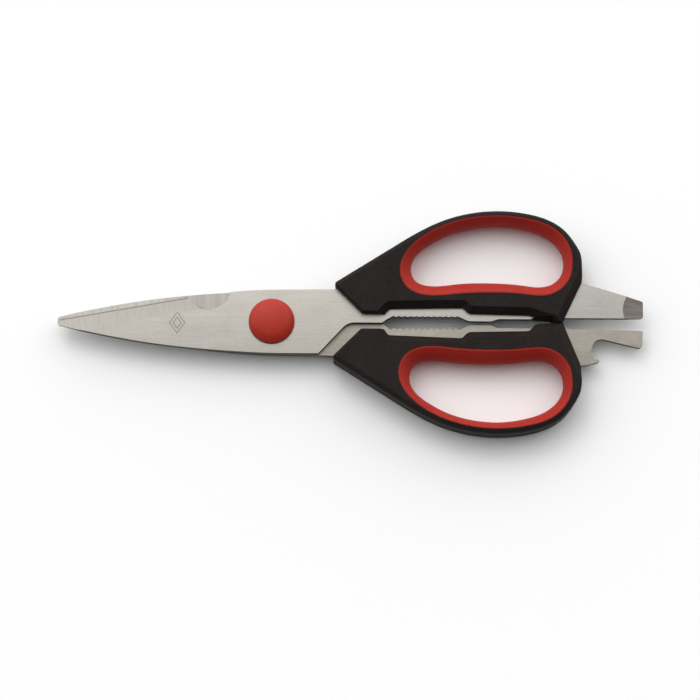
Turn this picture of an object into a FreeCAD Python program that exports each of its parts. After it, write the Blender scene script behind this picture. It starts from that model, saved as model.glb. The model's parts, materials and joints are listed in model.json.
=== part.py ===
"""Multi-purpose poultry shears, closed and lying on their back face.

Each half is one steel plate with a moulded handle. The two halves are alike turned half a turn about the long
axis, so both are modelled with the handle on the +Y side and the outer face up, about the pivot axis with z = 0
between the blades, and the back half is then turned over. Blades point to -X, handles and tools to +X.
"""
import FreeCAD, Part
import math
import os

os.makedirs("parts", exist_ok=True)
Vec = FreeCAD.Vector

# Driving dimensions, in millimetres, measured from the pivot axis
TIP_X = -82.4            # blade point
TAIL_X = 142.7           # screwdriver tip
PLATE = 2.5              # thickness of each steel half
BLADE_GAP = 0.2          # shim space between the two halves
HANDLE_HALF = 6.5        # half the thickness of a handle
SPINE_Y = 12.45          # half the width of the blades at the pivot
EDGE_LAND = 0.3          # thickness left at the cutting edge
BEVEL_WIDTH = 6.0        # width of the ground bevel
EDGE_START = (-81.2, 0.8)     # cutting edge, beside the rounded point
EDGE_END = (-32.2, 9.7)       # cutting edge, beside the bone notch
SERRATION_PITCH = 0.85
SERRATION_DEPTH = 0.28
NOTCH_CENTRE = (-24.4, 13.2)  # bone notch
NOTCH_R = 8.2
NOTCH_CHAMFER = 0.7      # its width in plan
NOTCH_CHAMFER_DEPTH = 1.05
TEETH = 11               # in each jaw
UPPER_JAW = {"start": 46.65, "pitch": 2.25, "valley": 2.45, "peak": 1.98, "lead": (43.9, 0.95), "rear": 1.45}
LOWER_JAW = {"start": 45.9, "pitch": 2.37, "valley": 2.62, "peak": 1.66, "lead": (44.3, 1.35), "rear": 1.62}
SPINE_CHAMFER = 0.15
TANG_HOLES = [(38.5, 12.0, 3.0), (56.0, 6.9, 0.9), (78.0, 6.6, 1.4), (92.0, 6.6, 1.4), (106.0, 5.6, 1.6)]
SCREWDRIVER_MIDDLE_Y = 5.35
SCREWDRIVER_WIDTH = 6.7
GRIND_R = 35.0           # wheel that thins the screwdriver tip
GRIND_DEPTH = 0.88
GRIND_CROWN = 0.12       # how much the wheel's rim bulges over the width of the tip

EDGE_ROUNDS = {"knuckle": 2.0, "stop": 1.0, "front": 1.0}   # rounded stretches of the handle's outline
EDGE_SLOPES = {"tool": 2.7, "jaw": 2.5}                     # stretches with a sloping face instead
STOP_Y = 0.15            # each handle's stop face, from the long axis
FRONT_SIDE = [           # corners of the side that faces the other handle, from the tool end forward
    (119.2, 16.2), (111.6, STOP_Y), (109.0, STOP_Y), (107.9, 2.1, 1.0), (100.6, 2.25), (98.8, 2.85, 2.0),
    (75.6, 3.33, 3.3), (73.4, 5.65, 1.5), (45.4, 5.1, 1.3), (43.4, 3.05),
]
BACK_SIDE = [
    (118.7, 16.2), (112.2, STOP_Y), (101.9, 0.55, 3.5), (99.3, 3.45, 2.0), (75.8, 3.95, 3.3), (73.5, 6.4, 1.8),
    (45.2, 5.35, 1.6), (43.7, 3.1),
]
FRONT_JAW_END = 100.5    # where the wide jaw slope ends; beyond it comes the stop's rounding
BACK_JAW_END = 112.2
BACK_LOOP_SHIFT = -0.5   # the back finger loop sits this much nearer the pivot
LINER_STEP = 0.35        # liner faces lie this far below the handle faces
LINER_LIP = 0.14         # share of the way from rim to throat that is flat lip

CAP_R = 8.8
CAP_HEIGHT = 4.4
HEAD_R = 6.0
HEAD_HEIGHT = 1.2
NECK_R = 3.2             # double-D neck in the front blade
NECK_FLAT = 2.6
SHOULDER_R = 3.0         # round shoulder that the back half turns on
RUNNING_FIT = 0.04
BORE_FIT = 0.1           # play around the washers' bores
STACK_FIT = 0.02         # play between the parts stacked on the screw
BUSH_R = 4.0
THREAD_R = 2.2
SHIM_R = 8.0
NUT_R = 5.5
NUT_HEIGHT = 1.9
NUT_SLOT = 1.4
NUT_SLOT_DEPTH = 0.9
WASHER = 0.5
WASHER_R = 5.9
SPRING_R = 5.4
SPRING_STRIP = 0.3
SPRING_RISE = 0.45

# Heights worked out from them
FACE_IN = BLADE_GAP / 2
FACE_OUT = FACE_IN + PLATE
SPRING_TOP_Z = -FACE_OUT - STACK_FIT
WASHER_TOP_Z = SPRING_TOP_Z - SPRING_RISE - SPRING_STRIP - STACK_FIT
SCREW_END_Z = WASHER_TOP_Z - WASHER - NUT_HEIGHT


def at(point, z=0.0):
    return Vec(point[0], point[1], z)


def lines(points):
    """Straight edges through the points."""
    return [Part.makeLine(at(a), at(b)) for a, b in zip(points, points[1:])]


def arc(start, middle, end):
    return Part.Arc(at(start), at(middle), at(end)).toShape()


def curve(points, start_way, end_way):
    """One smooth curve through the points, leaving and arriving in the given directions."""
    spline = Part.BSplineCurve()
    spline.interpolate(
        Points=[at(p) for p in points],
        InitialTangent=at(start_way),
        FinalTangent=at(end_way),
    )
    return spline.toShape()


def ring_curve(points, z):
    """A closed smooth curve through the points, as a wire at height z."""
    spline = Part.BSplineCurve()
    spline.interpolate(Points=[at(p, z) for p in points], PeriodicFlag=True)
    return Part.Wire([spline.toShape()])


def rounded(corners):
    """Straight edges from corner to corner, where a third number rounds that corner to its radius."""
    points = [at(c) for c in corners]
    edges = []
    here = points[0]
    for before, corner, after, spec in zip(points, points[1:], points[2:], corners[1:]):
        if len(spec) < 3:
            edges.append(Part.makeLine(here, corner))
            here = corner
            continue
        into = (corner - before).normalize()
        out = (after - corner).normalize()
        half_turn = into.getAngle(out) / 2
        back = spec[2] * math.tan(half_turn)
        start = corner - into * back
        end = corner + out * back
        inward = (out - into).normalize()
        middle = corner + inward * (spec[2] / math.cos(half_turn) - spec[2])
        edges.append(Part.makeLine(here, start))
        edges.append(Part.Arc(start, middle, end).toShape())
        here = end
    edges.append(Part.makeLine(here, points[-1]))
    return edges


def plate(edges, z_low, z_high):
    """The closed outline as a plate between two heights."""
    wire = Part.Wire(Part.__sortEdges__(edges))
    solid = Part.Face(wire).extrude(Vec(0, 0, z_high - z_low))
    solid.translate(Vec(0, 0, z_low))
    return solid


def disc(radius, z_low, z_high):
    return Part.makeCylinder(radius, z_high - z_low, Vec(0, 0, z_low))


def jaw_edge(jaw):
    """The edge that faces the other half, from the crossing along a row of pointed teeth into the handle."""
    start, pitch, valley = jaw["start"], jaw["pitch"], jaw["valley"]
    teeth = [(start, valley)]
    for i in range(TEETH):
        teeth.append((start + (i + 0.5) * pitch, jaw["peak"]))
        teeth.append((start + (i + 1) * pitch, valley))
    lead = rounded([(34.0, -0.2), (42.4, -0.2, 1.0), jaw["lead"], teeth[0]])
    rear = rounded([
        teeth[-1], (75.7, 0.52, 2.0), (84.4, 0.52, 2.0), (87.0, jaw["rear"], 2.0), (99.4, jaw["rear"]),
    ])
    return lead + lines(teeth) + rear


def serrated_edge(start, end):
    """The straight cutting edge with its fine saw notches."""
    run = Vec(end[0] - start[0], end[1] - start[1], 0)
    way = run.normalize()
    length = math.hypot(end[0] - start[0], end[1] - start[1])
    inward = Vec(way.y, -way.x, 0)
    count = int(length / SERRATION_PITCH)
    points = [start]
    for i in range(count):
        for share, depth in ((0.35, 0.0), (0.6, SERRATION_DEPTH), (0.85, 0.0)):
            p = at(start) + way * ((i + share) * length / count) + inward * depth
            points.append((p.x, p.y))
    points.append(end)
    return lines(points)


def spine():
    """Rounded point and spine, from the cutting edge round to the shoulder behind the pivot."""
    return [
        arc(EDGE_START, (TIP_X, -0.6), (-80.7, -2.0)),
        curve(
            [(-80.7, -2.0), (-67.6, -5.1), (-49.2, -8.4), (-30.7, -10.6), (-12.3, -11.95), (3.0, -SPINE_Y)],
            (1, -0.3), (1, 0),
        ),
    ] + rounded([(3.0, -SPINE_Y), (17.9, -SPINE_Y), (29.2, -0.2, 6.0), (34.0, -0.2)])


def tang_top():
    """Upper edge of the steel, from the tool end forward through the handle to the front of the pivot."""
    inside = rounded([
        (118.7, 16.0), (110.4, 10.4, 4.0), (104.0, 9.2, 6.0), (57.0, 8.4, 4.0), (47.0, 12.6, 3.0),
        (45.0, 20.0, 2.0), (39.0, 20.0, 3.0), (29.0, 12.8, 3.0), (24.0, 12.75),
    ])
    return inside + lines([(24.0, 12.75), (3.0, 12.5)])


def screwdriver_end():
    return rounded([
        (99.4, UPPER_JAW["rear"]), (101.4, 2.6, 1.0), (109.0, 2.6, 1.0), (112.0, 2.0, 1.0), (TAIL_X, 2.0, 1.2),
        (TAIL_X, 8.7, 1.0), (118.7, 16.0),
    ])


def opener_end():
    """Bottle opener: a claw that hooks under the crown cap, and a lip that presses on it."""
    lip = rounded([(99.4, LOWER_JAW["rear"]), (142.8, 2.3, 1.0), (142.3, 9.3, 1.3), (127.8, 5.8)])
    throat = curve(
        [(127.8, 5.8), (124.6, 6.4), (123.0, 9.0), (122.7, 11.2), (123.8, 13.1), (125.5, 13.6)],
        (-1, -0.25), (1, 0),
    )
    claw = rounded([(125.5, 13.6), (126.1, 14.2, 0.4), (125.2, 14.8, 0.4), (121.0, 15.9, 2.0), (118.7, 16.0)])
    return lip + [throat] + claw


def bevel_cut():
    """The wedge ground away along the cutting edge."""
    slope = (PLATE - EDGE_LAND) / BEVEL_WIDTH
    beyond = 4.0
    edge_z = FACE_IN + EDGE_LAND
    profile = [(-BEVEL_WIDTH, FACE_OUT), (beyond, edge_z - slope * beyond), (beyond, 6.0), (-BEVEL_WIDTH, 6.0)]
    wire = Part.makePolygon([Vec(0, u, z) for u, z in profile + profile[:1]])
    wedge = Part.Face(wire).extrude(Vec(62, 0, 0))
    wedge.translate(Vec(-5, 0, 0))
    angle = math.degrees(math.atan2(EDGE_END[1] - EDGE_START[1], EDGE_END[0] - EDGE_START[0]))
    wedge.rotate(Vec(), Vec(0, 0, 1), angle)
    wedge.translate(at(EDGE_START))
    return wedge


def break_spine(steel):
    """A small chamfer along the outer corner of the spine."""
    picked = []
    for edge in steel.Edges:
        box = edge.BoundBox
        on_spine = box.ZMin > FACE_OUT - 0.01 and box.YMax < -0.1 and box.XMax < 18.0
        on_bevel = edge.Curve.TypeId == "Part::GeomLine" and box.XMax < -30
        if on_spine and not on_bevel:
            picked.append(edge)
    return steel.makeChamfer(SPINE_CHAMFER, picked)


def tang_holes():
    """Holes that the handle plastic flows through."""
    return [Part.makeCylinder(radius, 10, Vec(x, y, -5)) for x, y, radius in TANG_HOLES]


def grinding_wheel(height):
    """A wheel with a crowned rim, lying across the screwdriver tip."""
    half_width = 9.0
    edge_r = GRIND_R - GRIND_CROWN * (half_width / (SCREWDRIVER_WIDTH / 2)) ** 2
    rim = arc((edge_r, -half_width), (GRIND_R, 0), (edge_r, half_width))
    core = [(edge_r, half_width), (0, half_width), (0, -half_width), (edge_r, -half_width)]
    wheel = turned([rim] + lines(core))
    wheel.rotate(Vec(), Vec(1, 0, 0), 90)
    wheel.translate(Vec(TAIL_X, SCREWDRIVER_MIDDLE_Y, height))
    return wheel


def front_blade():
    top = curve([(3.0, 12.5), (-5.0, 12.25), (-16.43, 11.3)], (-1, 0), (-1, -0.15))
    notch = arc((-16.43, 11.3), (NOTCH_CENTRE[0], NOTCH_CENTRE[1] - NOTCH_R), EDGE_END)
    outline = serrated_edge(EDGE_START, EDGE_END) + spine() + jaw_edge(UPPER_JAW)
    outline += screwdriver_end() + tang_top() + [top, notch]
    steel = plate(outline, FACE_IN, FACE_OUT)
    steel = steel.cut(bevel_cut())
    for z in (FACE_OUT - GRIND_DEPTH + GRIND_R, FACE_IN + GRIND_DEPTH - GRIND_R):
        steel = steel.cut(grinding_wheel(z))
    foot = Vec(NOTCH_CENTRE[0], NOTCH_CENTRE[1], FACE_OUT - NOTCH_CHAMFER_DEPTH)
    steel = steel.cut(Part.makeCone(NOTCH_R, NOTCH_R + NOTCH_CHAMFER, NOTCH_CHAMFER_DEPTH, foot))
    neck = disc(NECK_R, 0, 5).common(Part.makeBox(20, 2 * NECK_FLAT, 5, Vec(-10, -NECK_FLAT, 0)))
    steel = steel.cut(neck).cut(Part.makeCompound(tang_holes()))
    return break_spine(steel)


def back_blade():
    """The back half's steel, still with its handle side at +Y and its outer face up."""
    edge = lines([EDGE_START, EDGE_END]) + [curve([EDGE_END, (-16.0, 11.6), (3.0, 12.5)], (1, 0.17), (1, 0))]
    outline = edge + spine() + jaw_edge(LOWER_JAW) + opener_end() + tang_top()
    steel = plate(outline, FACE_IN, FACE_OUT)
    steel = steel.cut(bevel_cut())
    steel = steel.cut(disc(BUSH_R, 0, 5)).cut(Part.makeCompound(tang_holes()))
    return break_spine(steel)


RIM = [
    (115.5, 23.5), (113.6, 31.2), (108.6, 36.7), (100.0, 40.15), (87.5, 41.7), (76.0, 40.7), (66.0, 37.8),
    (57.5, 33.1), (51.4, 27.0), (49.1, 19.5), (52.1, 12.8), (59.5, 9.9), (70.0, 10.4), (85.0, 11.1),
    (97.0, 10.5), (105.5, 10.2), (111.5, 13.2), (114.7, 18.0),
]
THROAT = [
    (112.3, 23.6), (110.9, 29.0), (105.9, 33.9), (98.5, 36.8), (87.0, 38.4), (77.5, 37.6), (68.0, 34.9),
    (60.5, 30.9), (55.2, 26.3), (53.5, 21.4), (55.3, 16.6), (60.5, 14.7), (70.5, 15.4), (85.5, 15.9),
    (96.5, 15.1), (103.5, 14.5), (108.3, 15.9), (111.3, 19.2),
]


def handle_outline(side):
    """Outline of the moulding: knuckle side as one curve, then the side facing the other handle and the front.

    A sharp corner parts each two stretches that are rounded differently.
    """
    knuckle = curve(
        [
            (50.0, 31.3), (57.5, 35.75), (66.6, 39.95), (77.0, 42.7), (88.0, 43.55), (98.0, 42.55),
            (106.6, 40.0), (112.9, 35.7), (117.2, 29.9), (119.2, 22.5),
        ],
        (25.1, 16.0), (0, -1),
    )
    front = [(34.8, 3.15, 1.6), (23.9, 14.1, 1.3), (24.9, 15.4), (50.0, 31.3)]
    return [knuckle] + rounded([(119.2, 22.5), *side, *front])


def stretch_of(edge, jaw_end):
    """Which stretch of the handle's outline an edge belongs to."""
    box = edge.BoundBox
    if box.XMax < 44.0 and box.YMax < 16.0:
        return "front"
    if box.YMax < 6.0:
        return "stop" if box.XMin > jaw_end else "jaw"
    if box.YMax < 16.3 and box.XMin > 111.0:
        return "tool"
    return "knuckle"


def eased_body(block, stretch, jaw_end):
    """The moulding with only one stretch of its edges rounded or sloped."""
    flat_edges = [edge for edge in block.Edges if edge.BoundBox.ZLength < 0.01]
    picked = [edge for edge in flat_edges if stretch_of(edge, jaw_end) == stretch]
    if not picked:
        return block
    if stretch in EDGE_SLOPES:
        return block.makeChamfer(EDGE_SLOPES[stretch], picked)
    return block.makeFillet(EDGE_ROUNDS[stretch], picked)


def handle(tang, side, jaw_end, shift):
    """Rigid moulding over the tang, with the finger loop open for its liner."""
    block = plate(handle_outline(side), -HANDLE_HALF, HANDLE_HALF)
    body = block
    for stretch in [*EDGE_ROUNDS, *EDGE_SLOPES]:
        body = body.common(eased_body(block, stretch, jaw_end))
    reach = HANDLE_HALF + 1.0
    loop = Part.Face(ring_curve(RIM, -reach)).extrude(Vec(0, 0, 2 * reach))
    body = body.cut(loop)
    body.translate(Vec(shift, 0, 0))
    return body.cut(tang)


def grip_liner(shift):
    """Soft lining of the finger loop, bulging inwards to its narrowest at mid thickness."""
    half = HANDLE_HALF - LINER_STEP
    lip = [
        (rim[0] + (throat[0] - rim[0]) * LINER_LIP, rim[1] + (throat[1] - rim[1]) * LINER_LIP)
        for rim, throat in zip(RIM, THROAT)
    ]
    block = Part.Face(ring_curve(RIM, -half)).extrude(Vec(0, 0, 2 * half))
    sections = [ring_curve(lip, -half), ring_curve(THROAT, 0.0), ring_curve(lip, half)]
    liner = block.cut(Part.makeLoft(sections, True, False))
    liner.translate(Vec(shift, 0, 0))
    return liner


def turned(edges):
    """A solid of revolution about the pivot axis, from an outline in radius and height."""
    wire = Part.Wire(Part.__sortEdges__(edges))
    wire.rotate(Vec(), Vec(1, 0, 0), 90)
    return Part.Face(wire).revolve(Vec(), Vec(0, 0, 1), 360)


def pivot_cap():
    """Domed cap that snaps over the screw head."""
    foot = FACE_OUT
    top = FACE_OUT + CAP_HEIGHT
    dome = curve(
        [(0, top), (4.6, top - 0.5), (7.4, top - 1.7), (8.5, top - 3.0), (CAP_R, foot + 0.4)], (1, 0), (0, -1)
    )
    under = lines([
        (CAP_R, foot + 0.4), (CAP_R - 0.4, foot), (HEAD_R, foot), (HEAD_R, foot + HEAD_HEIGHT),
        (0, foot + HEAD_HEIGHT), (0, top),
    ])
    return turned([dome] + under)


def pivot_screw():
    """Flat head, double-D neck, round shoulder and threaded end."""
    foot = SCREW_END_Z
    corner = 0.4
    shank = turned(lines([
        (0, foot), (THREAD_R - corner, foot), (THREAD_R, foot + corner), (THREAD_R, SPRING_TOP_Z),
        (SHOULDER_R, SPRING_TOP_Z), (SHOULDER_R, FACE_IN), (0, FACE_IN), (0, foot),
    ]))
    neck = disc(NECK_R, FACE_IN, FACE_OUT).common(
        Part.makeBox(20, 2 * NECK_FLAT, 20, Vec(-10, -NECK_FLAT, -10))
    )
    return shank.fuse(neck).fuse(disc(HEAD_R, FACE_OUT, FACE_OUT + HEAD_HEIGHT)).removeSplitter()


def blade_washer():
    """Thin shim that turns with the front half and slides on the back one."""
    low = -FACE_IN + STACK_FIT
    return disc(SHIM_R, low, FACE_IN).cut(disc(SHOULDER_R + BORE_FIT, low, FACE_IN))


def pivot_bush():
    """Sleeve pressed into the back blade."""
    return disc(BUSH_R, -FACE_OUT, -FACE_IN).cut(disc(SHOULDER_R + RUNNING_FIT, -FACE_OUT, -FACE_IN))


def spring_washer():
    """A washer bowed about the X axis, resting on the back blade by its two edges."""
    bow_r = (SPRING_R ** 2 + SPRING_RISE ** 2) / (2 * SPRING_RISE)
    axis_z = SPRING_TOP_Z - SPRING_RISE + bow_r
    start = Vec(-10, 0, axis_z)
    strip = Part.makeCylinder(bow_r + SPRING_STRIP, 20, start, Vec(1, 0, 0))
    strip = strip.cut(Part.makeCylinder(bow_r, 20, start, Vec(1, 0, 0)))
    low = SPRING_TOP_Z - 2
    return strip.common(disc(SPRING_R, low, SPRING_TOP_Z).cut(disc(SHOULDER_R + BORE_FIT, low, SPRING_TOP_Z)))


def backing_washer():
    top = WASHER_TOP_Z
    return disc(WASHER_R, top - WASHER, top).cut(disc(THREAD_R + BORE_FIT, top - WASHER, top))


def pivot_nut():
    """Low round nut with a slot across it for a driver."""
    low = SCREW_END_Z
    high = WASHER_TOP_Z - WASHER
    corner = 0.5
    body = turned(lines([
        (THREAD_R, low), (NUT_R - corner, low), (NUT_R, low + corner), (NUT_R, high), (THREAD_R, high),
        (THREAD_R, low),
    ]))
    slot = Part.makeBox(20, NUT_SLOT, NUT_SLOT_DEPTH, Vec(-10, -NUT_SLOT / 2, low))
    return body.cut(slot)


def turned_over(shape):
    """The same shape on the other half: half a turn about the long axis."""
    other = shape.copy()
    other.rotate(Vec(), Vec(1, 0, 0), 180)
    return other


def main():
    front_steel = front_blade()
    back_steel = back_blade()
    nodes = {
        "front_blade": front_steel,
        "back_blade": turned_over(back_steel),
        "front_handle": handle(front_steel, FRONT_SIDE, FRONT_JAW_END, 0.0),
        "back_handle": turned_over(handle(back_steel, BACK_SIDE, BACK_JAW_END, BACK_LOOP_SHIFT)),
        "front_grip_liner": grip_liner(0.0),
        "back_grip_liner": turned_over(grip_liner(BACK_LOOP_SHIFT)),
        "pivot_cap": pivot_cap(),
        "pivot_screw": pivot_screw(),
        "blade_washer": blade_washer(),
        "pivot_bush": pivot_bush(),
        "spring_washer": spring_washer(),
        "backing_washer": backing_washer(),
        "pivot_nut": pivot_nut(),
    }
    # The origin is below the middle of the whole length, on the surface that the handles lie on.
    to_origin = Vec(-(TIP_X + TAIL_X) / 2, 0, HANDLE_HALF)
    for name, shape in nodes.items():
        shape.translate(to_origin)
        shape.exportStep(f"parts/{name}.step")
        box = shape.optimalBoundingBox()
        print(
            f"{name}: valid {shape.isValid()}, solids {len(shape.Solids)}, volume {shape.Volume:.0f} mm3,"
            f" x {box.XMin:.2f} to {box.XMax:.2f}, y {box.YMin:.2f} to {box.YMax:.2f},"
            f" z {box.ZMin:.2f} to {box.ZMax:.2f}"
        )
    print("pivot axis at", to_origin)


main()
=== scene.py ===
"""Looks of the multi-purpose poultry shears, lying closed on a pale table.

The scene is in metres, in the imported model's frame: X along the shears with the points at -X, Y towards the
front loop, Z up. Places on the materials are in millimetres.
"""

import json
import math

import bpy
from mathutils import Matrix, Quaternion, Vector

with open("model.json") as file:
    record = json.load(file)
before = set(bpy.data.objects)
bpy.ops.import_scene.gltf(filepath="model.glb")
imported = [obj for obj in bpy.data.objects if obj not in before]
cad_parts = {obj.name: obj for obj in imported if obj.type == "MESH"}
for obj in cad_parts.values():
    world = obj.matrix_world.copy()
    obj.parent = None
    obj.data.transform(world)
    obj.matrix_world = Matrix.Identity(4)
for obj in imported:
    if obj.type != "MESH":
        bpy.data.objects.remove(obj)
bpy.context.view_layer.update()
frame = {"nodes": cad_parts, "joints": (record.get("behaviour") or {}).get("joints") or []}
NODES = frame["nodes"]
PIVOT = Vector(frame["joints"][0]["pos_m"])
MM = 0.001


def rgb(r, g, b):
    return (r, g, b, 1.0)


# The camera looks down across the shears from the back loop's side.
CAMERA_ELEVATION = 79.0      # degrees above the table
CAMERA_ROLL = 0.36           # degrees
CAMERA_DISTANCE = 1.0005
CAMERA_LENS = 134.0
CAMERA_CLIP = (0.05, 40.0)
CAMERA_TARGET = Vector((0.0, -10.5 * MM, 6.5 * MM))

# The light: a soft tent, bright behind the shears and dim towards the viewer, and one large lamp.
TENT_WAY = Vector((-0.12, 0.99, 0.0))    # where the tent is brightest
TENT_TURN = 0.45             # it goes from dim to bright between this cosine's minus and plus
TENT_DIM, TENT_BRIGHT = 0.12, 1.75
LAMP_PLACE = Vector((-0.7, 1.6, 1.9))
LAMP_SIZE = 1.0
LAMP_POWER = 8

FLOOR_HALF = 12.0
FLOOR_HEIGHT = -0.1 * MM     # just clear of the shears' lower faces
FLOOR_COLOUR = rgb(0.98, 0.98, 0.98)

# Places on the steel. A pair is where a change starts and where it ends.
EDGE_ANGLE = 10.29           # cutting edge against the long axis, in degrees
EDGE_REACH = 20.68           # how far the cutting edge's line passes from the origin
SERRATION_PITCH = 0.859      # of the fine teeth along the front cutting edge
SERRATION_DEPTH = (0.55, 0.42)           # how far inside that line the painted shade in their notches starts
SERRATION_END = (-62.4, -62.6)
GROUND_SIDE_X = (-44.0, -48.0)           # ahead of the pivot, on the cutting edge's side
GROUND_SIDE_Y = (0.0, 1.0)
BEVEL_END = (90.0, 89.0)     # the sloping faces beyond this are the screwdriver's
NOTCH_RIM = (-55.5, -58.0)   # a painted highlight on the bone notch's rim, turning to painted shade towards the points
FACE_LENGTH = (-10.0, 95.0)  # the front half gets darker from its pivot to its tail
BACK_SHADE_SPAN = (-78.0, -60.0)  # the back half does so below the bone notch, a painted shade where it lies under the front half
INSIDE_END = (-14.0, -20.0)  # the back blade is ground crosswise ahead of this
TANG_SHADE_SPAN = (-22.0, -6.0)         # behind the pivot the back half gets a darker, warmer painted shade
GRIND_START = 104.72         # where the screwdriver's grinding starts, on its centre line
GRIND_FADE = (-0.04, 0.04)
GRIND_MIDDLE_Y = 5.35
GRIND_SAG = 0.056            # how that line bows, per square millimetre off the centre line
CROWN_RADIUS = 330.0         # the blades' faces are very slightly crowned across

# Two plain lozenges etched on the front blade, one inside the other.
MARK_PLACE = (-66.4, -0.7)
MARK_HALF = (3.1, 4.3)       # half their width and half their height at size 1
MARK_SIZES = (0.95, 0.5)
MARK_LINE = (0.08, 0.03)     # how far off a line it starts and is full
MARK_STRENGTH = 0.85

# How squarely a face looks up: 1 on a flat face and 0 on a wall.
WALLS = (0.35, 0.15)
CHAMFERS = (0.9, 0.8)
BEVELS = (0.985, 0.97)
FLAT_INSIDE = (0.9, 0.97)
UNDERSIDE = (-0.7, -0.8)

# Tones of the steel.
FRONT_FACE = rgb(0.395, 0.374, 0.342)
FRONT_TAIL = rgb(0.33, 0.316, 0.292)
FRONT_BEVEL = rgb(0.256, 0.244, 0.222)
# Painted highlight on the chamfers on the ground side, and the painted shade it turns to towards the points.
NOTCH_RIM_HIGHLIGHT = rgb(0.55, 0.53, 0.49)
NOTCH_RIM_SHADE = rgb(0.34, 0.33, 0.305)
# Painted shade in the notches between the fine teeth of the front cutting edge.
SERRATION_SHADE = rgb(0.085, 0.074, 0.06)
SCREWDRIVER = rgb(0.160, 0.146, 0.136)
ETCHING = rgb(0.15, 0.12, 0.09)
# The back half: lighter at its points, with painted shade further back where it lies under the front half.
BACK_POINT = rgb(0.395, 0.380, 0.352)
BACK_FACE_SHADE = rgb(0.332, 0.320, 0.295)
BACK_TANG_SHADE = rgb(0.313, 0.287, 0.247)
# Painted shade: a dark tone on the blades' side walls, standing in for the shade they lie in.
WALL_SHADE = rgb(0.10, 0.085, 0.07)
WALL_SHADE_WHERE_GROUND = 0.15     # how much of that painted shade the walls on the ground side take

LINE_DEPTH = 0.008 * MM      # of the steel's brushed and ground lines
RING_DEPTH = 0.01 * MM       # of the turned rings on the pivot's parts
RING_SCALE = 900.0
PLASTIC_GRAIN = 2.5          # grains per millimetre


# ---------------------------------------------------------------- node helpers

class Tree:
    """Short calls for building a material's node tree."""

    def __init__(self, name, metallic=0.0):
        self.material = bpy.data.materials.new(name)
        self.material.use_nodes = True
        self.nodes = self.material.node_tree.nodes
        self.links = self.material.node_tree.links
        self.shader = self.nodes["Principled BSDF"]
        self.shader.inputs["Metallic"].default_value = metallic

    def add(self, kind, **settings):
        node = self.nodes.new(kind)
        for key, value in settings.items():
            setattr(node, key, value)
        return node

    def plug(self, value, socket):
        """Links an output, or sets a plain value."""
        if isinstance(value, bpy.types.NodeSocket):
            self.links.new(value, socket)
        else:
            socket.default_value = value

    def math(self, operation, a, b=0.0, clamp=False):
        node = self.add("ShaderNodeMath", operation=operation, use_clamp=clamp)
        self.plug(a, node.inputs[0])
        self.plug(b, node.inputs[1])
        return node.outputs[0]

    def total(self, first, *others):
        for value in others:
            first = self.math("ADD", first, value)
        return first

    def product(self, first, *others):
        for value in others:
            first = self.math("MULTIPLY", first, value)
        return first

    def distance(self, value, target):
        return self.math("ABSOLUTE", self.math("SUBTRACT", value, target))

    def axis(self, vector, name):
        node = self.add("ShaderNodeSeparateXYZ")
        self.links.new(vector, node.inputs[0])
        return node.outputs[name]

    def coords(self, density=(1, 1, 1), turn=0.0):
        """Object coordinates in millimetres, turned about Z by some degrees, then multiplied."""
        place = self.add("ShaderNodeTexCoord").outputs["Object"]
        if turn:
            spin = self.add("ShaderNodeVectorRotate", rotation_type="Z_AXIS")
            spin.inputs["Angle"].default_value = math.radians(turn)
            self.links.new(place, spin.inputs["Vector"])
            place = spin.outputs[0]
        mapping = self.add("ShaderNodeMapping", vector_type="POINT")
        mapping.inputs["Scale"].default_value = [d / MM for d in density]
        self.links.new(place, mapping.inputs["Vector"])
        return mapping.outputs[0]

    def place(self):
        vector = self.coords()
        return self.axis(vector, "X"), self.axis(vector, "Y")

    def upright(self):
        """How squarely the surface looks up, from -1 to 1."""
        return self.axis(self.add("ShaderNodeTexCoord").outputs["Normal"], "Z")

    def noise(self, density, detail, roughness, turn=0.0):
        """Noise with so many features per millimetre along X, Y and Z."""
        node = self.add("ShaderNodeTexNoise")
        self.links.new(self.coords(density, turn), node.inputs["Vector"])
        node.inputs["Scale"].default_value = 1.0
        node.inputs["Detail"].default_value = detail
        node.inputs["Roughness"].default_value = roughness
        return node.outputs["Fac"]

    def spread(self, value, low, high, out_low=0.0, out_high=1.0):
        """Maps a value's range onto another one, held at both ends."""
        node = self.add("ShaderNodeMapRange")
        self.plug(value, node.inputs["Value"])
        for socket, number in zip(node.inputs[1:5], (low, high, out_low, out_high)):
            socket.default_value = number
        return node.outputs[0]

    def swing(self, noise, amount):
        """A noise as a change of about plus or minus the amount."""
        return self.spread(noise, 0.25, 0.75, -amount, amount)

    def blend(self, share, a, b, kind="FLOAT"):
        node = self.add("ShaderNodeMix", data_type=kind)
        self.plug(share, node.inputs["Factor"])
        self.plug(a, node.inputs["A"])
        self.plug(b, node.inputs["B"])
        return node.outputs["Result"]

    def mix(self, share, a, b):
        return self.blend(share, a, b, "RGBA")

    def shaded(self, colour, change):
        """A colour made lighter or darker by a share of itself."""
        node = self.add("ShaderNodeVectorMath", operation="SCALE")
        self.plug(colour, node.inputs[0])
        self.plug(self.math("ADD", change, 1.0), node.inputs["Scale"])
        return node.outputs[0]

    def bump(self, height, distance, strength=1.0, under=None):
        node = self.add("ShaderNodeBump")
        node.inputs["Strength"].default_value = strength
        node.inputs["Distance"].default_value = distance
        self.links.new(height, node.inputs["Height"])
        if under is not None:
            self.links.new(under, node.inputs["Normal"])
        return node.outputs[0]

    def finish(self, colour, roughness, normal):
        self.links.new(colour, self.shader.inputs["Base Color"])
        self.links.new(roughness, self.shader.inputs["Roughness"])
        self.links.new(normal, self.shader.inputs["Normal"])
        return self.material


# ------------------------------------------------------------------- materials

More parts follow.
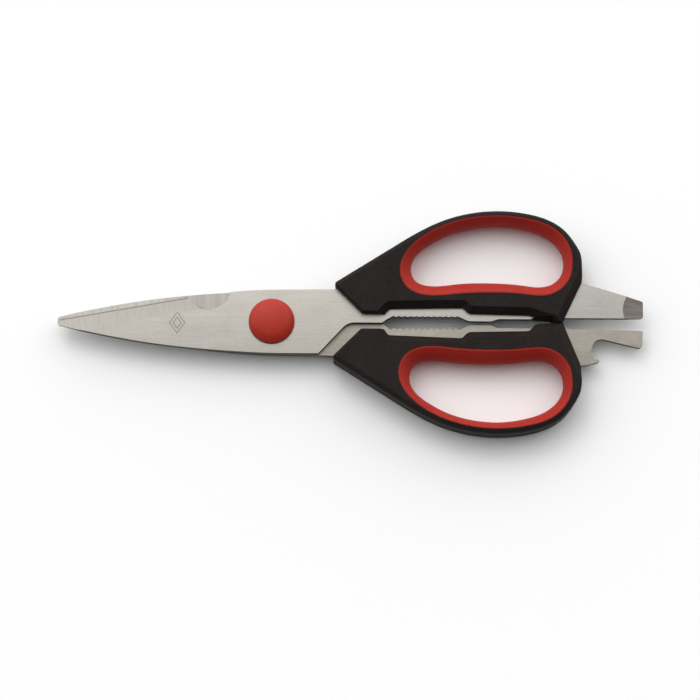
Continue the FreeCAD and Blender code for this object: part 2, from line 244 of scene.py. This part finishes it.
def etched_mark(t, x, y):
    """Where the lozenges' lines lie."""
    across = t.math("DIVIDE", t.distance(x, MARK_PLACE[0]), MARK_HALF[0])
    up = t.math("DIVIDE", t.distance(y, MARK_PLACE[1]), MARK_HALF[1])
    size = t.total(across, up)
    return t.spread(t.math("MINIMUM", *[t.distance(size, line) for line in MARK_SIZES]), *MARK_LINE)


def screwdriver_tip(t, x, y):
    """Beyond the bowed line where the screwdriver's grinding starts."""
    off = t.math("SUBTRACT", y, GRIND_MIDDLE_Y)
    start = t.total(t.product(off, off, GRIND_SAG), GRIND_START)
    return t.spread(t.math("SUBTRACT", x, start), *GRIND_FADE)


def steel_normal(t, y, crosswise, streaks, hairs, cross_fine):
    """A faint crown across the blade, with brushed lines or ground lines over it."""
    crown = t.product(y, y, -0.5 / CROWN_RADIUS)
    lines = t.blend(crosswise, t.total(t.product(streaks, 0.5), hairs), cross_fine)
    return t.bump(lines, LINE_DEPTH, under=t.bump(crown, MM))


def front_steel():
    """Brushed lengthwise, with a crosswise ground bevel and a darker ground screwdriver tip."""
    t = Tree("front_blade_steel", metallic=1.0)
    upright = t.math("ABSOLUTE", t.upright())
    x, y = t.place()
    at_edge = t.coords(turn=-EDGE_ANGLE)
    teeth = t.math("PINGPONG", t.axis(at_edge, "X"), SERRATION_PITCH / 2)

    ground_side = t.product(t.spread(x, *GROUND_SIDE_X), t.spread(y, *GROUND_SIDE_Y))
    # painted shade on the side walls, with less of it on the ground side
    wall_shade = t.product(t.spread(upright, *WALLS), t.spread(ground_side, 0.0, 1.0, 1.0, WALL_SHADE_WHERE_GROUND))
    # painted highlight on the ground side's chamfers, such as the bone notch's rim
    chamfer_highlight = t.product(ground_side, t.spread(upright, *CHAMFERS))
    bevel = t.product(t.spread(upright, *BEVELS), t.spread(x, *BEVEL_END))
    tip = screwdriver_tip(t, x, y)
    # painted shade in the notches between the fine teeth
    serration_shade = t.product(
        t.spread(t.axis(at_edge, "Y"), *[EDGE_REACH - depth for depth in SERRATION_DEPTH]),
        t.spread(x, *SERRATION_END),
        t.spread(teeth, 0.1, 0.3, 0.4, 1.0),
    )

    streaks = t.noise((0.03, 1.6, 1.0), 4.0, 0.6)
    hairs = t.noise((0.09, 7.0, 1.0), 3.0, 0.6)
    grain = t.noise((0.9, 1.9, 1.0), 3.0, 0.7)
    cloud = t.noise((0.07, 0.12, 0.1), 4.0, 0.6)
    cross_wide = t.noise((0.75, 0.05, 0.05), 2.0, 0.5, -EDGE_ANGLE)
    cross_fine = t.noise((3.0, 0.12, 0.05), 2.0, 0.6, -EDGE_ANGLE)
    tip_lines = t.noise((0.10, 2.6, 0.1), 4.0, 0.65, 6.0)

    brushed = t.total(t.swing(streaks, 0.06), t.swing(hairs, 0.06), t.swing(grain, 0.08), t.swing(cloud, 0.08))
    hatch = t.spread(teeth, 0.05, 0.38, -0.06, 0.06)
    ground = t.total(hatch, t.swing(cross_wide, 0.03), t.swing(cross_fine, 0.13), t.swing(grain, 0.04))
    scoured = t.total(t.swing(tip_lines, 0.45), t.swing(cloud, 0.08))

    tone = t.mix(t.spread(x, *FACE_LENGTH), FRONT_FACE, FRONT_TAIL)
    tone = t.mix(bevel, tone, FRONT_BEVEL)
    tone = t.mix(chamfer_highlight, tone, t.mix(t.spread(x, *NOTCH_RIM), NOTCH_RIM_HIGHLIGHT, NOTCH_RIM_SHADE))
    tone = t.mix(serration_shade, tone, SERRATION_SHADE)
    tone = t.mix(tip, tone, SCREWDRIVER)
    tone = t.mix(t.product(etched_mark(t, x, y), MARK_STRENGTH), tone, ETCHING)
    tone = t.shaded(tone, t.blend(tip, t.blend(bevel, brushed, ground), scoured))
    # the side walls take the painted shade
    tone = t.mix(wall_shade, tone, WALL_SHADE)

    rough = t.total(t.swing(hairs, 0.05), t.swing(cloud, 0.04), 0.36)
    rough = t.blend(t.math("MAXIMUM", bevel, tip), rough, t.total(t.swing(cross_fine, 0.05), 0.44))
    rough = t.blend(wall_shade, rough, 0.6)
    return t.finish(tone, rough, steel_normal(t, y, bevel, streaks, hairs, cross_fine))


def back_steel():
    """Inner face ground crosswise along the blade; the tang and the opener are brushed and toned darker as
    painted shade.
    """
    t = Tree("back_blade_steel", metallic=1.0)
    upright = t.upright()
    x, y = t.place()

    # painted shade on the side walls
    wall_shade = t.spread(t.math("ABSOLUTE", upright), *WALLS)
    inside = t.product(t.spread(upright, *FLAT_INSIDE), t.spread(x, *INSIDE_END))
    bevel = t.product(t.spread(upright, *[-b for b in BEVELS]), t.spread(upright, *UNDERSIDE))
    crosswise = t.math("MAXIMUM", inside, bevel)
    # painted shade behind the pivot, over the tang and the opener
    tang_shade = t.spread(x, *TANG_SHADE_SPAN)

    streaks = t.noise((0.035, 1.5, 1.0), 4.0, 0.6, 2.0)
    hairs = t.noise((0.09, 6.0, 1.0), 3.0, 0.6, 2.0)
    grain = t.noise((0.8, 1.6, 1.0), 3.0, 0.7)
    cloud = t.noise((0.10, 0.16, 0.1), 4.0, 0.6)
    cross_wide = t.noise((0.62, 0.03, 1.0), 1.0, 0.5)
    cross_fine = t.noise((2.6, 0.08, 1.0), 3.0, 0.7)

    brushed = t.total(t.swing(streaks, 0.08), t.swing(hairs, 0.07), t.swing(grain, 0.10), t.swing(cloud, 0.12))
    ground = t.total(t.swing(cross_wide, 0.08), t.swing(cross_fine, 0.17), t.swing(grain, 0.04))

    # painted shade on the back half below the bone notch
    tone = t.mix(t.spread(x, *BACK_SHADE_SPAN), BACK_POINT, BACK_FACE_SHADE)
    tone = t.mix(tang_shade, tone, BACK_TANG_SHADE)
    tone = t.shaded(tone, t.blend(crosswise, brushed, ground))
    # the side walls take the painted shade
    tone = t.mix(wall_shade, tone, WALL_SHADE)

    rough = t.total(t.swing(hairs, 0.05), t.swing(cloud, 0.04), 0.38)
    rough = t.blend(crosswise, rough, t.total(t.swing(cross_fine, 0.05), 0.42))
    rough = t.blend(wall_shade, rough, 0.6)
    return t.finish(tone, rough, steel_normal(t, y, crosswise, streaks, hairs, cross_fine))


def moulded(name, dark, light, gloss, roughness, grain_depth):
    """Moulded plastic or elastomer with a fine spark-eroded grain and faint flow clouds."""
    t = Tree(name)
    t.shader.inputs["Specular IOR Level"].default_value = gloss
    grain = t.noise((PLASTIC_GRAIN,) * 3, 4.0, 0.6)
    mottle = t.noise((0.9,) * 3, 3.0, 0.6)
    cloud = t.noise((0.09,) * 3, 3.0, 0.5)
    share = t.math("ADD", t.spread(cloud, 0.3, 0.7, 0.25, 0.75), t.swing(mottle, 0.6), clamp=True)
    rough = t.total(t.swing(grain, 0.06), t.swing(mottle, 0.05), roughness)
    return t.finish(t.mix(share, dark, light), rough, t.bump(grain, grain_depth, 0.6))


def turned_metal(name, tone, roughness):
    """Turned metal: fine rings about the pivot axis."""
    t = Tree(name, metallic=1.0)
    offset = t.add("ShaderNodeVectorMath", operation="SUBTRACT")
    t.links.new(t.add("ShaderNodeTexCoord").outputs["Object"], offset.inputs[0])
    offset.inputs[1].default_value = PIVOT
    rings = t.add("ShaderNodeTexWave", wave_type="RINGS", rings_direction="Z")
    t.links.new(offset.outputs[0], rings.inputs["Vector"])
    rings.inputs["Scale"].default_value = RING_SCALE
    rings.inputs["Distortion"].default_value = 0.6
    rings.inputs["Detail"].default_value = 2.0
    wear = t.noise((1.2,) * 3, 3.0, 0.6)
    colour = t.mix(wear, rgb(*[0.8 * c for c in tone[:3]]), tone)
    rough = t.spread(wear, 0.3, 0.7, roughness - 0.06, roughness + 0.08)
    return t.finish(colour, rough, t.bump(rings.outputs["Fac"], RING_DEPTH, 0.5))


def dress(material, *names):
    for name in names:
        for slot in NODES[name].material_slots:
            slot.material = material


dress(front_steel(), "front_blade")
dress(back_steel(), "back_blade")
dress(
    moulded("handle_plastic", rgb(0.0128, 0.0096, 0.0084), rgb(0.0210, 0.0165, 0.0150), 0.09, 0.6, 0.06 * MM),
    "front_handle", "back_handle",
)
dress(
    moulded("liner_elastomer", rgb(0.33, 0.0190, 0.0120), rgb(0.40, 0.0260, 0.0170), 0.2, 0.6, 0.05 * MM),
    "front_grip_liner", "back_grip_liner",
)
dress(
    moulded("cap_plastic", rgb(0.36, 0.022, 0.0105), rgb(0.42, 0.027, 0.0135), 0.25, 0.46, 0.04 * MM),
    "pivot_cap",
)
dress(turned_metal("pivot_steel", rgb(0.42, 0.41, 0.39), 0.35), "pivot_screw", "pivot_nut")
dress(
    turned_metal("washer_steel", rgb(0.38, 0.37, 0.35), 0.4),
    "blade_washer", "spring_washer", "backing_washer",
)
dress(turned_metal("bush_bronze", rgb(0.4, 0.26, 0.11), 0.45), "pivot_bush")


# ---------------------------------------------------------------------- studio

def place_in_scene(name, data):
    thing = bpy.data.objects.new(name, data)
    bpy.context.scene.collection.objects.link(thing)
    return thing


def camera():
    data = bpy.data.cameras.new("camera")
    data.lens = CAMERA_LENS
    data.clip_start, data.clip_end = CAMERA_CLIP
    eye = place_in_scene("camera", data)
    rise = math.radians(CAMERA_ELEVATION)
    back = Vector((0, -math.cos(rise), math.sin(rise)))
    roll = Quaternion((0, 0, 1), math.radians(CAMERA_ROLL))
    eye.location = CAMERA_TARGET + back * CAMERA_DISTANCE
    eye.rotation_mode = "QUATERNION"
    eye.rotation_quaternion = (-back).to_track_quat("-Z", "Y") @ roll
    bpy.context.scene.camera = eye


def floor():
    """A plain pale table, far wider than the view."""
    signs = ((-1, -1), (1, -1), (1, 1), (-1, 1))
    mesh = bpy.data.meshes.new("floor")
    mesh.from_pydata([(a * FLOOR_HALF, b * FLOOR_HALF, 0) for a, b in signs], [], [(0, 1, 2, 3)])
    table = place_in_scene("floor", mesh)
    table.location.z = FLOOR_HEIGHT
    t = Tree("floor_paint")
    t.shader.inputs["Base Color"].default_value = FLOOR_COLOUR
    t.shader.inputs["Roughness"].default_value = 0.8
    t.shader.inputs["Specular IOR Level"].default_value = 0.2
    mesh.materials.append(t.material)


def tent():
    """A white world whose strength depends on the direction."""
    world = bpy.data.worlds.new("tent")
    bpy.context.scene.world = world
    world.use_nodes = True
    nodes, links = world.node_tree.nodes, world.node_tree.links
    along = nodes.new("ShaderNodeVectorMath")
    along.operation = "DOT_PRODUCT"
    along.inputs[1].default_value = TENT_WAY
    ramp = nodes.new("ShaderNodeMapRange")
    ramp.interpolation_type = "SMOOTHSTEP"
    for socket, number in zip(ramp.inputs[1:5], (-TENT_TURN, TENT_TURN, TENT_DIM, TENT_BRIGHT)):
        socket.default_value = number
    links.new(nodes.new("ShaderNodeTexCoord").outputs["Generated"], along.inputs[0])
    links.new(along.outputs["Value"], ramp.inputs["Value"])
    links.new(ramp.outputs[0], nodes["Background"].inputs["Strength"])
    nodes["Background"].inputs["Color"].default_value = rgb(1.0, 1.0, 1.0)


def lamp():
    """A square soft light aimed at the shears."""
    light = bpy.data.lights.new("key", "AREA")
    light.size = LAMP_SIZE
    light.energy = LAMP_POWER
    key = place_in_scene("key", light)
    key.location = LAMP_PLACE
    key.rotation_euler = (-LAMP_PLACE).to_track_quat("-Z", "Y").to_euler()


camera()
floor()
tent()
lamp()
bpy.context.scene.view_settings.view_transform = "Standard"
